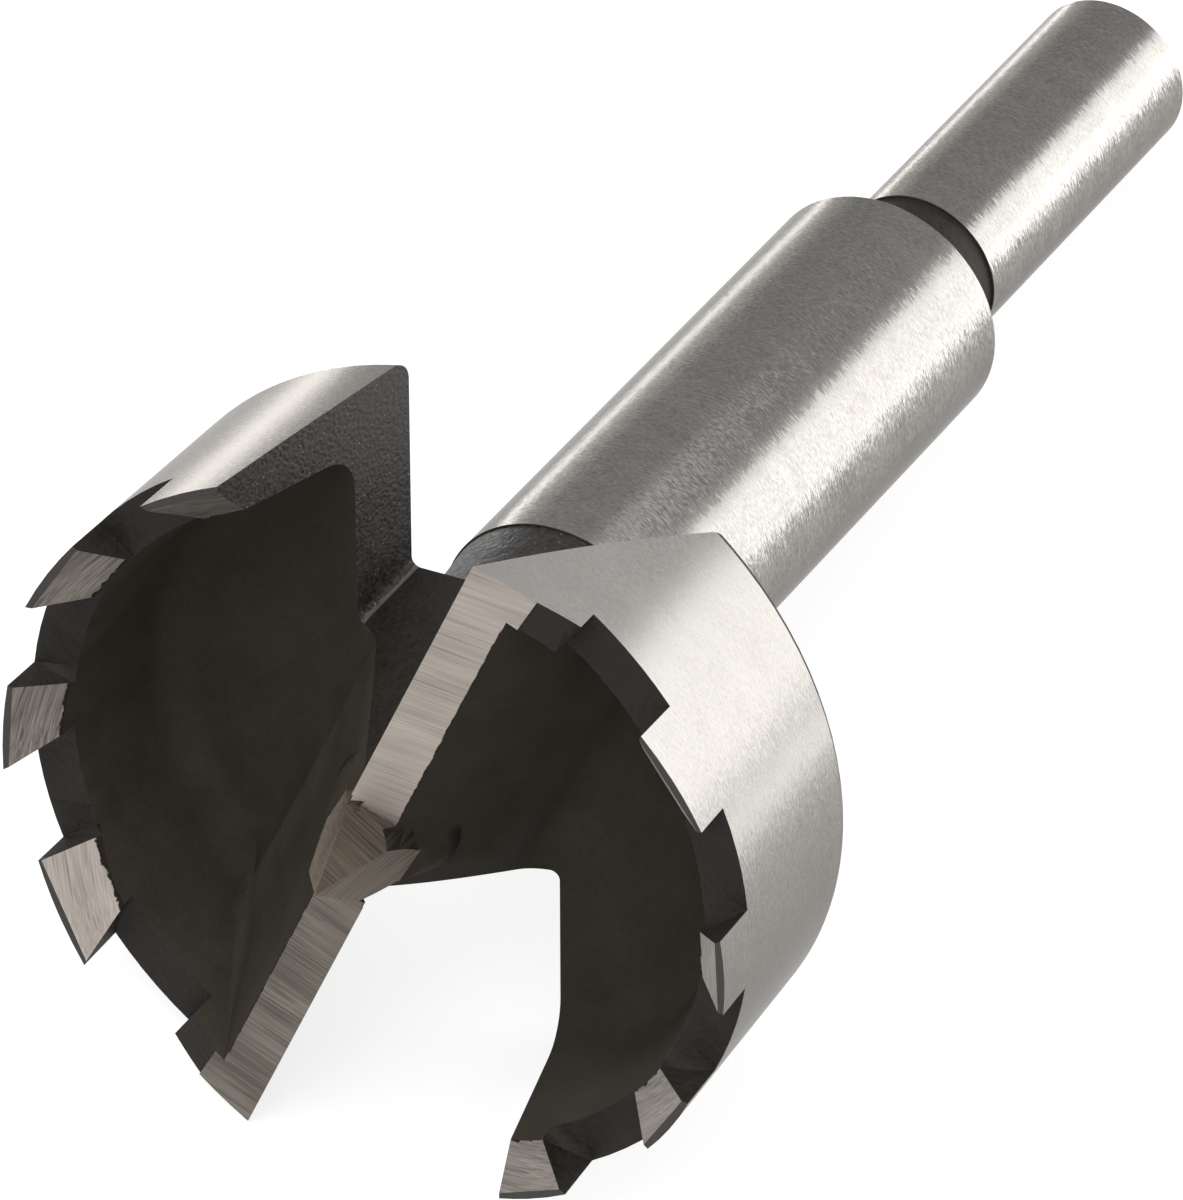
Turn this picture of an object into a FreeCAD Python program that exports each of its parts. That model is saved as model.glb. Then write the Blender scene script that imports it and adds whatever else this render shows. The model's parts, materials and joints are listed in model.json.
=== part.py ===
"""Forstner bit, forged and ground from one piece of tool steel.

The bit is modelled about its own axis: +Z is the cutting end, +X runs to
the outer corner of the first cutter, and angles are counted backwards
from that corner, against the cutting direction.  The finished body is
then laid down as it rests on a bench.
"""
import FreeCAD
import Part
import math
import os
import Sketcher

Vector = FreeCAD.Vector
Rotation = FreeCAD.Rotation

NODE = "forstner_bit"
TEETH = (1, 2, 3, 4)
END_CLEARANCE = 1.2

SIZES = [
    # turned blank
    ("head_diameter", 45.0),
    ("head_back_taper", 2.1),
    ("head_height", 15.5),
    ("head_back_round", 1.35),
    ("collar_root_radius", 6.75),
    ("collar_end_radius", 7.4),
    ("collar_fillet", 1.0),
    ("neck_diameter", 15.0),
    ("neck_start", 22.4),
    ("neck_end", 60.8),
    ("neck_chamfer", 0.3),
    ("band_diameter", 9.6),
    ("band_end", 65.2),
    ("shank_diameter", 10.0),
    ("shank_end", 90.5),
    ("shank_chamfer", 0.5),
    # chip pocket of one half
    ("pocket_floor", 11.1),
    ("rim_thickness", 2.1),
    ("pocket_draft", 10.1),
    ("pocket_slope", 29.5),
    ("pocket_margin", 0.6),
    ("pocket_top_hub_run", 2.9),
    ("pocket_top_web_run", 6.4),
    ("pocket_floor_hub_run", 0.7),
    ("pocket_floor_web_run", 0.35),
    ("floor_fillet", 2.6),
    # gullet ahead of each cutter
    ("gullet_end_angle", 19.2),
    ("gullet_end_offset", 8.5),
    ("gullet_end_slant", 11.3),
    ("gullet_web_angle", 22.5),
    ("gullet_web_turn", 9.0),
    ("gullet_web_offset", 2.3),
    ("gullet_web_slant", 19.4),
    ("gullet_corner", 0.6),
    # cutter
    ("cutter_angle", 4.45),
    ("cutter_lead", 1.75),
    ("cutter_rake", 28.4),
    ("cutter_drop", 0.05),
    ("cutter_relief", 9.0),
    ("strip_width", 2.9),
    ("tab_end", 9.7),
    ("land_step", 0.12),
    ("land_relief", 19.0),
    # teeth on the rim
    ("tooth_rise", 0.2),
    ("tooth_depth", 3.05),
    ("tooth_relief", 6.5),
    ("tooth_front_turn", 30.0),
    ("tooth_1_lead", 32.3),
    ("tooth_2_lead", 65.0),
    ("tooth_3_lead", 95.1),
    ("tooth_4_lead", 125.8),
    ("gap_1_start", 16.2),
    ("gap_2_start", 48.8),
    ("gap_3_start", 78.6),
    ("gap_4_start", 108.9),
    ("bevel_land", 0.5),
    ("bevel_slope", 45.0),
    # centre point
    ("point_height", 4.45),
    ("point_radius", 2.9),
    ("point_root", 1.6),
    ("hub_radius", 3.9),
    ("hub_depth", 4.5),
    ("point_face_slope", 33.2),
    ("point_flank_slope", 22.5),
    ("point_flank_turn", 8.6),
    ("point_flank_depth", 1.8),
    # how it lies on a bench
    ("rest_roll", 82.0),
    ("rest_tilt", 11.03),
]

SIZE = dict(SIZES)


def tan(angle):
    return math.tan(math.radians(angle))


def cos(angle):
    return math.cos(math.radians(angle))


def sin(angle):
    return math.sin(math.radians(angle))


def make_sheet(doc):
    """Write every driving size into one spreadsheet."""
    sheet = doc.addObject("Spreadsheet::Sheet", "Sizes")
    for row, (name, value) in enumerate(SIZES, start=1):
        sheet.set("A%d" % row, name)
        sheet.set("B%d" % row, str(value))
        sheet.setAlias("B%d" % row, name)
    doc.recompute()
    return sheet


def size(name):
    return "Sizes." + name


def origin_item(body, role):
    for item in body.Origin.OriginFeatures:
        if item.Role == role:
            return item
    raise ValueError("no origin item " + role)


def new_sketch(body, name, plane):
    sketch = body.newObject("Sketcher::SketchObject", name)
    sketch.AttachmentSupport = [(origin_item(body, plane), "")]
    sketch.MapMode = "FlatFace"
    return sketch


def fix_point(sketch, line, end, x, y):
    """Hold one line end at (x, y), each given as (value, expression)."""
    for kind, (value, rule) in (("DistanceX", x), ("DistanceY", y)):
        if abs(value) < 1e-9 and rule is None:
            target = -2 if kind == "DistanceX" else -1
            sketch.addConstraint(Sketcher.Constraint("PointOnObject", line, end, target))
            continue
        index = sketch.addConstraint(Sketcher.Constraint(kind, -1, 1, line, end, value))
        if rule:
            sketch.setExpression("Constraints[%d]" % index, rule)


def outline(sketch, points):
    """Draw a closed outline through points of ((x, rule), (y, rule))."""
    count = len(points)
    for index in range(count):
        x0, y0 = points[index]
        x1, y1 = points[(index + 1) % count]
        start = Vector(x0[0], y0[0], 0)
        end = Vector(x1[0], y1[0], 0)
        sketch.addGeometry(Part.LineSegment(start, end), False)
    for index in range(count):
        following = (index + 1) % count
        sketch.addConstraint(Sketcher.Constraint("Coincident", index, 2, following, 1))
    for index, (x, y) in enumerate(points):
        fix_point(sketch, index, 1, x, y)


def meet(first, second):
    """Point where two lines given as (angle, signed offset) cross."""
    a, p = first
    b, q = second
    na = (-sin(a), cos(a))
    nb = (-sin(b), cos(b))
    det = na[0] * nb[1] - na[1] * nb[0]
    return ((p * nb[1] - q * na[1]) / det, (na[0] * q - nb[0] * p) / det)


def hold_line(sketch, index, offset, offset_rule):
    """Hold a line at a distance from the axis."""
    rule = Sketcher.Constraint("Distance", -1, 1, index, abs(offset))
    number = sketch.addConstraint(rule)
    sketch.setExpression("Constraints[%d]" % number, offset_rule)


def hold_angle(sketch, index, start, end, angle_rule):
    """Hold the direction of a line by its angle to the X axis."""
    value = math.atan2(end[1] - start[1], end[0] - start[0])
    number = sketch.addConstraint(Sketcher.Constraint("Angle", index, value))
    sketch.setExpression("Constraints[%d]" % number, angle_rule)


def check_cut(doc, body, feature, label):
    """Recompute and make sure the feature took metal away."""
    body.Tip = feature
    doc.recompute()
    before = feature.BaseFeature.Shape.Volume
    if feature.Shape.Volume >= before - 1e-6:
        raise ValueError(label + " removed nothing")


def make_blank(doc, body):
    """Turn the blank: head, collar, neck, band and shank."""
    sketch = new_sketch(body, "BlankProfile", "XZ_Plane")
    radius = SIZE["head_diameter"] / 2
    back = radius - SIZE["head_height"] * tan(SIZE["head_back_taper"])
    back_rule = "{} / 2 - {} * tan({} * 1 deg)".format(
        size("head_diameter"), size("head_height"), size("head_back_taper"))
    neck = SIZE["neck_diameter"] / 2
    shank = SIZE["shank_diameter"] / 2
    band = SIZE["band_diameter"] / 2
    chamfer = SIZE["shank_chamfer"]
    bevel = SIZE["neck_chamfer"]
    half = "{} / 2"
    points = [
        ((0, None), (SIZE["tooth_rise"], size("tooth_rise"))),
        ((radius, half.format(size("head_diameter"))),
         (SIZE["tooth_rise"], size("tooth_rise"))),
        ((back, back_rule), (-SIZE["head_height"], "-" + size("head_height"))),
        ((SIZE["collar_root_radius"], size("collar_root_radius")),
         (-SIZE["head_height"], "-" + size("head_height"))),
        ((SIZE["collar_end_radius"], size("collar_end_radius")),
         (-SIZE["neck_start"], "-" + size("neck_start"))),
        ((neck, half.format(size("neck_diameter"))),
         (-SIZE["neck_start"], "-" + size("neck_start"))),
        ((neck, half.format(size("neck_diameter"))),
         (-SIZE["neck_end"] + bevel,
          "-{} + {}".format(size("neck_end"), size("neck_chamfer")))),
        ((neck - bevel, "{} / 2 - {}".format(size("neck_diameter"), size("neck_chamfer"))),
         (-SIZE["neck_end"], "-" + size("neck_end"))),
        ((band, half.format(size("band_diameter"))),
         (-SIZE["neck_end"], "-" + size("neck_end"))),
        ((band, half.format(size("band_diameter"))),
         (-SIZE["band_end"], "-" + size("band_end"))),
        ((shank, half.format(size("shank_diameter"))),
         (-SIZE["band_end"], "-" + size("band_end"))),
        ((shank, half.format(size("shank_diameter"))),
         (-SIZE["shank_end"] + chamfer,
          "-{} + {}".format(size("shank_end"), size("shank_chamfer")))),
        ((shank - chamfer,
          "{} / 2 - {}".format(size("shank_diameter"), size("shank_chamfer"))),
         (-SIZE["shank_end"], "-" + size("shank_end"))),
        ((0, None), (-SIZE["shank_end"], "-" + size("shank_end"))),
    ]
    outline(sketch, points)
    blank = body.newObject("PartDesign::Revolution", "Blank")
    blank.Profile = sketch
    blank.ReferenceAxis = (sketch, ["V_Axis"])
    blank.Angle = 360.0
    body.Tip = blank
    doc.recompute()
    return blank


def level_sketch(body, name, height, rule):
    """Sketch square to the axis at a height above the tooth tips."""
    sketch = new_sketch(body, name, "XY_Plane")
    sketch.AttachmentOffset = FreeCAD.Placement(Vector(0, 0, height), Rotation())
    sketch.setExpression("AttachmentOffset.Base.z", rule)
    return sketch


def end_line(height, rule):
    """Trailing end face of a half at one height, with its rule."""
    offset = SIZE["gullet_end_offset"] + height * tan(SIZE["gullet_end_slant"])
    text = "{} + ({}) * tan({} * 1 deg)".format(
        size("gullet_end_offset"), rule, size("gullet_end_slant"))
    return SIZE["gullet_end_angle"], -offset, text


def web_line(height, rule):
    """Web face between gullet and hub at one height, with its rules.

    The face twists a little, so its angle and its distance from the
    axis both grow towards the back of the head.
    """
    span = SIZE["head_height"] + 2 * END_CLEARANCE
    share = (height + SIZE["head_height"] + END_CLEARANCE) / span
    turn = SIZE["gullet_web_angle"] - SIZE["gullet_web_turn"] * share
    offset = SIZE["gullet_web_offset"] - height * tan(SIZE["gullet_web_slant"])
    text = "{} - ({}) * tan({} * 1 deg)".format(
        size("gullet_web_offset"), rule, size("gullet_web_slant"))
    angle_rule = "({} - {} * ({} + {} + {}) / ({} + {}))".format(
        size("gullet_web_angle"), size("gullet_web_turn"), rule, size("head_height"),
        END_CLEARANCE, size("head_height"), 2 * END_CLEARANCE)
    return 90 + turn, offset, text, angle_rule


def front_line(height, rule):
    """Cutter front face at one height, with its rule."""
    drop = height + SIZE["cutter_drop"]
    offset = SIZE["cutter_lead"] + drop * tan(SIZE["cutter_rake"])
    sign = "" if offset > 0 else "-"
    text = "{}({} + ({} + {}) * tan({} * 1 deg))".format(
        sign, size("cutter_lead"), rule, size("cutter_drop"), size("cutter_rake"))
    return -SIZE["cutter_angle"], -offset, text


def gullet_level(body, name, height, rule):
    """Outline of the gullet at one height: end, web, front, outside."""
    sketch = level_sketch(body, name, height, rule)
    end = end_line(height, rule)
    web = web_line(height, rule)
    front = front_line(height, rule)
    outside = SIZE["head_diameter"] * 0.6
    rim = (90, outside, size("head_diameter") + " * 0.6")
    corners = [
        meet(end[:2], web[:2]),
        meet(web[:2], front[:2]),
        meet(front[:2], rim[:2]),
        meet(rim[:2], end[:2]),
    ]
    sides = [web, front, rim, end]
    for index in range(4):
        start = Vector(*corners[index], 0)
        finish = Vector(*corners[(index + 1) % 4], 0)
        sketch.addGeometry(Part.LineSegment(start, finish), False)
    for index in range(4):
        rule_ = Sketcher.Constraint("Coincident", index, 2, (index + 1) % 4, 1)
        sketch.addConstraint(rule_)
    turns = [
        "(90 + {}) * 1 deg".format(web[3]),
        "(180 - {}) * 1 deg".format(size("cutter_angle")),
        None,
        "{} * 1 deg".format(size("gullet_end_angle")),
    ]
    for index in range(4):
        hold_line(sketch, index, sides[index][1], sides[index][2])
        if turns[index] is None:
            sketch.addConstraint(Sketcher.Constraint("Vertical", index))
        else:
            hold_angle(sketch, index, corners[index], corners[(index + 1) % 4],
                       turns[index])
    return sketch


def make_gullet(doc, body):
    """Cut the chip gullet ahead of the opposite cutter."""
    top = gullet_level(body, "GulletTop", END_CLEARANCE, str(END_CLEARANCE))
    low = gullet_level(body, "GulletBottom", -SIZE["head_height"] - END_CLEARANCE,
                       "-{} - {}".format(size("head_height"), END_CLEARANCE))
    doc.recompute()
    gullet = body.newObject("PartDesign::SubtractiveLoft", "Gullet")
    gullet.Profile = top
    gullet.Sections = [low]
    gullet.Ruled = True
    check_cut(doc, body, gullet, "gullet")
    return gullet


def slope_line(height, rule):
    """Sloping back of the cutter at one height, with its rule."""
    drop = SIZE["cutter_drop"] + SIZE["strip_width"] * tan(SIZE["cutter_relief"])
    fall = (height + drop) * tan(SIZE["pocket_slope"])
    offset = SIZE["strip_width"] - SIZE["cutter_lead"] - fall
    text = "{} - {} - ({} + {} + {} * tan({} * 1 deg)) * tan({} * 1 deg)".format(
        size("strip_width"), size("cutter_lead"), rule, size("cutter_drop"),
        size("strip_width"), size("cutter_relief"), size("pocket_slope"))
    return -SIZE["cutter_angle"], -offset, text


def reach(line, radius, side):
    """Point where a line crosses a circle about the axis."""
    angle, offset = line
    along = math.sqrt(radius ** 2 - offset ** 2) * side
    return (-sin(angle) * offset + cos(angle) * along,
            cos(angle) * offset + sin(angle) * along)


def stand_off(line, point, distance):
    """Point of a line at a distance from a point, on its negative X side."""
    angle, offset = line
    along = cos(angle) * point[0] + sin(angle) * point[1]
    away = -sin(angle) * point[0] + cos(angle) * point[1] - offset
    along -= math.sqrt(distance ** 2 - away ** 2)
    return (-sin(angle) * offset + cos(angle) * along,
            cos(angle) * offset + sin(angle) * along)


def wall_radius(height):
    """Radius of the pocket's wall at one height."""
    return (SIZE["head_diameter"] / 2 - SIZE["rim_thickness"]
            + height * tan(SIZE["pocket_draft"]))


def pocket_level(body, name, height, rule, level):
    """Outline of the chip pocket at one height."""
    sketch = level_sketch(body, name, height, rule)
    radius = wall_radius(height)
    margin = SIZE["pocket_margin"]
    hub_size = "pocket_%s_hub_run" % level
    web_size = "pocket_%s_web_run" % level
    hub_run = SIZE[hub_size]
    web_run = SIZE[web_size]
    slope = slope_line(height, rule)
    web = web_line(height, rule)
    end = end_line(height, rule)
    web_out = (web[0], web[1] + margin)
    end_out = (end[0], end[1] + margin)
    rim = reach(slope[:2], radius, 1)
    corner = meet(web_out, end_out)
    turn = (corner[0] + cos(web[0]) * web_run, corner[1] + sin(web[0]) * web_run)
    hub = stand_off(slope[:2], turn, hub_run)
    tail = reach(end_out, radius, -1)
    points = [rim, hub, turn, corner, tail]
    for index in range(4):
        start = Vector(*points[index], 0)
        finish = Vector(*points[index + 1], 0)
        sketch.addGeometry(Part.LineSegment(start, finish), False)
    circle = Part.Circle(Vector(0, 0, 0), Vector(0, 0, 1), radius)
    first = math.atan2(tail[1], tail[0])
    last = math.atan2(rim[1], rim[0])
    sketch.addGeometry(Part.ArcOfCircle(circle, first, last), False)
    for index in range(3):
        sketch.addConstraint(Sketcher.Constraint("Coincident", index, 2, index + 1, 1))
    sketch.addConstraint(Sketcher.Constraint("Coincident", 3, 2, 4, 1))
    sketch.addConstraint(Sketcher.Constraint("Coincident", 4, 2, 0, 1))
    sketch.addConstraint(Sketcher.Constraint("Coincident", 4, 3, -1, 1))
    number = sketch.addConstraint(Sketcher.Constraint("Radius", 4, radius))
    sketch.setExpression(
        "Constraints[%d]" % number, "{} / 2 - {} + ({}) * tan({} * 1 deg)".format(
            size("head_diameter"), size("rim_thickness"), rule, size("pocket_draft")))
    hold_line(sketch, 0, slope[1], slope[2])
    hold_angle(sketch, 0, rim, hub, "(180 - {}) * 1 deg".format(size("cutter_angle")))
    number = sketch.addConstraint(Sketcher.Constraint("Distance", 1, hub_run))
    sketch.setExpression("Constraints[%d]" % number, size(hub_size))
    hold_line(sketch, 2, web_out[1], web[2] + " + " + size("pocket_margin"))
    hold_angle(sketch, 2, turn, corner, "(-90 + {}) * 1 deg".format(web[3]))
    number = sketch.addConstraint(Sketcher.Constraint("Distance", 2, web_run))
    sketch.setExpression("Constraints[%d]" % number, size(web_size))
    hold_line(sketch, 3, end_out[1], end[2] + " - " + size("pocket_margin"))
    hold_angle(sketch, 3, corner, tail, "(-180 + {}) * 1 deg".format(size("gullet_end_angle")))
    return sketch


def make_pocket(doc, body):
    """Cut the chip pocket between the back of a cutter and the rim."""
    top = pocket_level(body, "PocketTop", END_CLEARANCE, str(END_CLEARANCE), "top")
    low = pocket_level(body, "PocketFloor", -SIZE["pocket_floor"],
                       "-" + size("pocket_floor"), "floor")
    doc.recompute()
    pocket = body.newObject("PartDesign::SubtractiveLoft", "ChipPocket")
    pocket.Profile = top
    pocket.Sections = [low]
    pocket.Ruled = True
    check_cut(doc, body, pocket, "chip pocket")
    return pocket


def upright_sketch(body, name, angle_rule, stand_rule="0", tilt_rule="0"):
    """Upright sketch turned about the axis and moved along its normal.

    Its X axis points out from the axis at the given angle behind the
    corner of the cutter; its Y axis is the axis of the bit, leaning by
    the tilt about X.
    """
    sketch = new_sketch(body, name, "XZ_Plane")
    angle = "({}) * 1 deg".format(angle_rule)
    shift = "vector(-({0}) * 1 mm * sin({1}); 0 mm; ({0}) * 1 mm * cos({1}))".format(
        stand_rule, angle)
    turn = "rotation(vector(0; -1; 0); {}) * rotation(vector(1; 0; 0); ({}) * 1 deg)".format(
        angle, tilt_rule)
    sketch.setExpression("AttachmentOffset", "placement({}; {})".format(shift, turn))
    return sketch


def gap_corner(name, turn, span):
    """Point of a gap side that starts on the rim and runs along a line.

    The line is turned from the radius towards the tooth, and the span is
    counted outwards along it.
    """
    radius = SIZE["head_diameter"] / 2
    x = radius * cos(SIZE[name]) + span * cos(SIZE[name] - turn)
    y = -radius * sin(SIZE[name]) - span * sin(SIZE[name] - turn)
    heading = size(name)
    if turn:
        heading = "({} - {})".format(heading, size("tooth_front_turn"))
    rule = "{} / 2 * {}({} * 1 deg) + {} * {}({} * 1 deg)"
    x_rule = rule.format(size("head_diameter"), "cos", size(name), span, "cos", heading)
    y_rule = "-({})".format(
        rule.format(size("head_diameter"), "sin", size(name), span, "sin", heading))
    return (x, x_rule), (y, y_rule)


def make_gap(doc, body, number):
    """Cut the gap on the rim that comes before a tooth."""
    start = "gap_%d_start" % number
    lead = "tooth_%d_lead" % number
    depth = size("tooth_depth")
    sketch = level_sketch(body, "GapOutline%d" % number, -SIZE["tooth_depth"], "-" + depth)
    corners = [gap_corner(start, 0.0, span) for span in (-3.6, 1.8)]
    corners += [gap_corner(lead, SIZE["tooth_front_turn"], span) for span in (1.8, -4.3)]
    outline(sketch, corners)
    doc.recompute()
    gap = body.newObject("PartDesign::Pocket", "Gap%d" % number)
    gap.Profile = sketch
    gap.Length = 6.0
    gap.Reversed = True
    check_cut(doc, body, gap, "gap %d" % number)
    return gap


def tooth_middle(number):
    """Angle of the middle of a tooth, with its rule."""
    lead = "tooth_%d_lead" % number
    if number < 4:
        tail = "gap_%d_start" % (number + 1)
        return ((SIZE[lead] + SIZE[tail]) / 2,
                "({} + {}) / 2".format(size(lead), size(tail)))
    return SIZE[lead] + 6.5, size(lead) + " + 6.5"


def tooth_half(number):
    """Half length of a tooth along the rim, with its rule."""
    middle, middle_rule = tooth_middle(number)
    lead = "tooth_%d_lead" % number
    return (SIZE["head_diameter"] / 2 * sin(middle - SIZE[lead]),
            "{} / 2 * sin(({} - {}) * 1 deg)".format(
                size("head_diameter"), middle_rule, size(lead)))


def make_tooth_top(doc, body, number):
    """Slope the top of a tooth down behind its leading edge."""
    middle_rule = tooth_middle(number)[1]
    half, half_rule = tooth_half(number)
    rise = SIZE["tooth_rise"]
    fall = tan(SIZE["tooth_relief"])
    fall_rule = "tan({} * 1 deg)".format(size("tooth_relief"))
    past = 3.4
    sketch = upright_sketch(
        body, "ToothTop%dOutline" % number, middle_rule + " + 90", "-16")
    points = [
        ((-half, "-" + half_rule), (rise, size("tooth_rise"))),
        ((past, None), (rise - (past + half) * fall, "{} - ({} + {}) * {}".format(
            size("tooth_rise"), past, half_rule, fall_rule))),
        ((past, None), (2, None)),
        ((-half, "-" + half_rule), (2, None)),
    ]
    outline(sketch, points)
    doc.recompute()
    top = body.newObject("PartDesign::Pocket", "ToothTop%d" % number)
    top.Profile = sketch
    top.Length = 10.0
    check_cut(doc, body, top, "tooth top %d" % number)
    return top


def make_tooth_bevel(doc, body, number):
    """Grind the flat bevel that falls inwards from the top of a tooth."""
    middle_rule = tooth_middle(number)[1]
    half, half_rule = tooth_half(number)
    sketch = upright_sketch(body, "Bevel%dOutline" % number, middle_rule,
                            tilt_rule=size("tooth_relief"))
    outer = SIZE["head_diameter"] / 2 - SIZE["bevel_land"]
    outer_rule = "{} / 2 - {}".format(size("head_diameter"), size("bevel_land"))
    crest = SIZE["tooth_rise"] - half * tan(SIZE["tooth_relief"])
    crest_rule = "{} - {} * tan({} * 1 deg)".format(
        size("tooth_rise"), half_rule, size("tooth_relief"))
    run = 3.2
    points = [
        ((outer, outer_rule), (crest, crest_rule)),
        ((outer, outer_rule), (2, None)),
        ((outer - run, "{} - {}".format(outer_rule, run)), (2, None)),
        ((outer - run, "{} - {}".format(outer_rule, run)),
         (crest - run * tan(SIZE["bevel_slope"]),
          "{} - {} * tan({} * 1 deg)".format(crest_rule, run, size("bevel_slope")))),
    ]
    outline(sketch, points)
    doc.recompute()
    bevel = body.newObject("PartDesign::Pocket", "Bevel%d" % number)
    bevel.Profile = sketch
    bevel.Length = 7.6
    bevel.Midplane = True
    check_cut(doc, body, bevel, "bevel %d" % number)
    return bevel


def make_strip(doc, body):
    """Grind the flat relief behind the cutting edge."""
    fall = tan(SIZE["cutter_relief"])
    fall_rule = "tan({} * 1 deg)".format(size("cutter_relief"))
    sketch = upright_sketch(body, "StripOutline", "90 + " + size("cutter_angle"),
                            "-{} * 0.29".format(size("head_diameter")))
    points = []
    for run in (-3.0, 5.5):
        height = -SIZE["cutter_drop"] - (run + SIZE["cutter_lead"]) * fall
        rule = "-{} - ({} + {}) * {}".format(
            size("cutter_drop"), run, size("cutter_lead"), fall_rule)
        points.append(((run, None), (height, rule)))
    points.append(((5.5, None), (2, None)))
    points.append(((-3.0, None), (2, None)))
    outline(sketch, points)
    doc.recompute()
    strip = body.newObject("PartDesign::Pocket", "Strip")
    strip.Profile = sketch
    strip.setExpression("Length", size("head_diameter") + " * 0.45")
    strip.Midplane = True
    check_cut(doc, body, strip, "strip")
    return strip


def make_land(doc, body):
    """Drop the rim behind the ground strip, down to the first gap."""
    angle = SIZE["tab_end"] - SIZE["cutter_angle"]
    radius = SIZE["head_diameter"] / 2
    behind = radius * sin(angle) + SIZE["cutter_lead"]
    start = -SIZE["cutter_drop"] - behind * tan(SIZE["cutter_relief"]) - SIZE["land_step"]
    behind_rule = "({} / 2 * sin(({} - {}) * 1 deg) + {})".format(
        size("head_diameter"), size("tab_end"), size("cutter_angle"), size("cutter_lead"))
    start_rule = "-{} - {} * tan({} * 1 deg) - {}".format(
        size("cutter_drop"), behind_rule, size("cutter_relief"), size("land_step"))
    run = 3.4
    end = start - run * tan(SIZE["land_relief"])
    end_rule = "{} - {} * tan({} * 1 deg)".format(start_rule, run, size("land_relief"))
    inner_rule = "-({} / 2 - {} - {})".format(
        size("head_diameter"), size("rim_thickness"), END_CLEARANCE)
    sketch = upright_sketch(body, "LandOutline", "90 + " + size("tab_end"), inner_rule)
    points = [
        ((0, None), (start, start_rule)),
        ((run, None), (end, end_rule)),
        ((run, None), (1, None)),
        ((0, None), (1, None)),
    ]
    outline(sketch, points)
    doc.recompute()
    land = body.newObject("PartDesign::Pocket", "Land")
    land.Profile = sketch
    land.Length = 6.0
    check_cut(doc, body, land, "land")
    return land


def repeat_opposite(doc, body, name, features):
    """Repeat features on the other half of the head."""
    pattern = body.newObject("PartDesign::PolarPattern", name)
    pattern.Originals = features
    pattern.Axis = (origin_item(body, "Z_Axis"), [""])
    pattern.Angle = 360.0
    pattern.Occurrences = 2
    body.Tip = pattern
    doc.recompute()
    return pattern


def make_hub(doc, body):
    """Add the core of the centre point on a hub that flares backwards."""
    sketch = new_sketch(body, "HubProfile", "XZ_Plane")
    points = [
        ((0, None), (SIZE["point_height"], size("point_height"))),
        ((SIZE["point_radius"], size("point_radius")),
         (SIZE["point_height"], size("point_height"))),
        ((SIZE["point_radius"], size("point_radius")),
         (-SIZE["point_root"], "-" + size("point_root"))),
        ((SIZE["hub_radius"], size("hub_radius")),
         (-SIZE["hub_depth"], "-" + size("hub_depth"))),
        ((0, None), (-SIZE["hub_depth"], "-" + size("hub_depth"))),
    ]
    outline(sketch, points)
    hub = body.newObject("PartDesign::Revolution", "Hub")
    hub.Profile = sketch
    hub.ReferenceAxis = (sketch, ["V_Axis"])
    hub.Angle = 360.0
    body.Tip = hub
    doc.recompute()
    return hub


def make_point_face(doc, body):
    """Grind the wide face of the centre point down to the strip."""
    sketch = new_sketch(body, "PointFaceOutline", "XZ_Plane")
    foot = (SIZE["point_height"] + SIZE["cutter_drop"]) * tan(SIZE["point_face_slope"])
    foot_rule = "({} + {}) * tan({} * 1 deg)".format(
        size("point_height"), size("cutter_drop"), size("point_face_slope"))
    points = [
        ((0, None), (SIZE["point_height"], size("point_height"))),
        ((foot, foot_rule), (-SIZE["cutter_drop"], "-" + size("cutter_drop"))),
        ((6, None), (-SIZE["cutter_drop"], "-" + size("cutter_drop"))),
        ((6, None), (8, None)),
        ((0, None), (8, None)),
    ]
    outline(sketch, points)
    doc.recompute()
    face = body.newObject("PartDesign::Pocket", "PointFace")
    face.Profile = sketch
    face.Length = 8.0
    face.Midplane = True
    check_cut(doc, body, face, "point face")
    return face


def make_point_flank(doc, body):
    """Grind the steep narrow flank of the centre point."""
    sketch = upright_sketch(body, "PointFlankOutline", "90 + " + size("point_flank_turn"))
    deep = SIZE["point_flank_depth"]
    foot = (SIZE["point_height"] + deep) * tan(SIZE["point_flank_slope"])
    foot_rule = "({} + {}) * tan({} * 1 deg)".format(
        size("point_height"), size("point_flank_depth"), size("point_flank_slope"))
    points = [
        ((0, None), (SIZE["point_height"], size("point_height"))),
        ((foot, foot_rule), (-deep, "-" + size("point_flank_depth"))),
        ((7, None), (-deep - 2.2, "-{} - 2.2".format(size("point_flank_depth")))),
        ((7, None), (8, None)),
        ((0, None), (8, None)),
    ]
    outline(sketch, points)
    doc.recompute()
    flank = body.newObject("PartDesign::Pocket", "PointFlank")
    flank.Profile = sketch
    flank.Length = 6.3
    flank.Midplane = True
    check_cut(doc, body, flank, "point flank")
    return flank


def middle_of(edge):
    return edge.valueAt((edge.FirstParameter + edge.LastParameter) / 2)


def edges_where(shape, test):
    """Names of the edges whose middle and ends all pass a test."""
    names = []
    for number, edge in enumerate(shape.Edges, start=1):
        points = [middle_of(edge)] + [vertex.Point for vertex in edge.Vertexes]
        if all(test(point) for point in points):
            names.append("Edge%d" % number)
    return names


def back_edges(shape):
    """Edge between the wall and the back of the head."""
    radius = SIZE["head_diameter"] / 2 - SIZE["head_height"] * tan(SIZE["head_back_taper"])
    return edges_where(shape, lambda point: (
        abs(point.z + SIZE["head_height"]) < 0.01
        and abs(math.hypot(point.x, point.y) - radius) < 0.01))


def collar_edges(shape):
    """Edge between the back of the head and the collar."""
    return edges_where(shape, lambda point: (
        abs(point.z + SIZE["head_height"]) < 0.01
        and abs(math.hypot(point.x, point.y) - SIZE["collar_root_radius"]) < 0.01))


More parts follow.
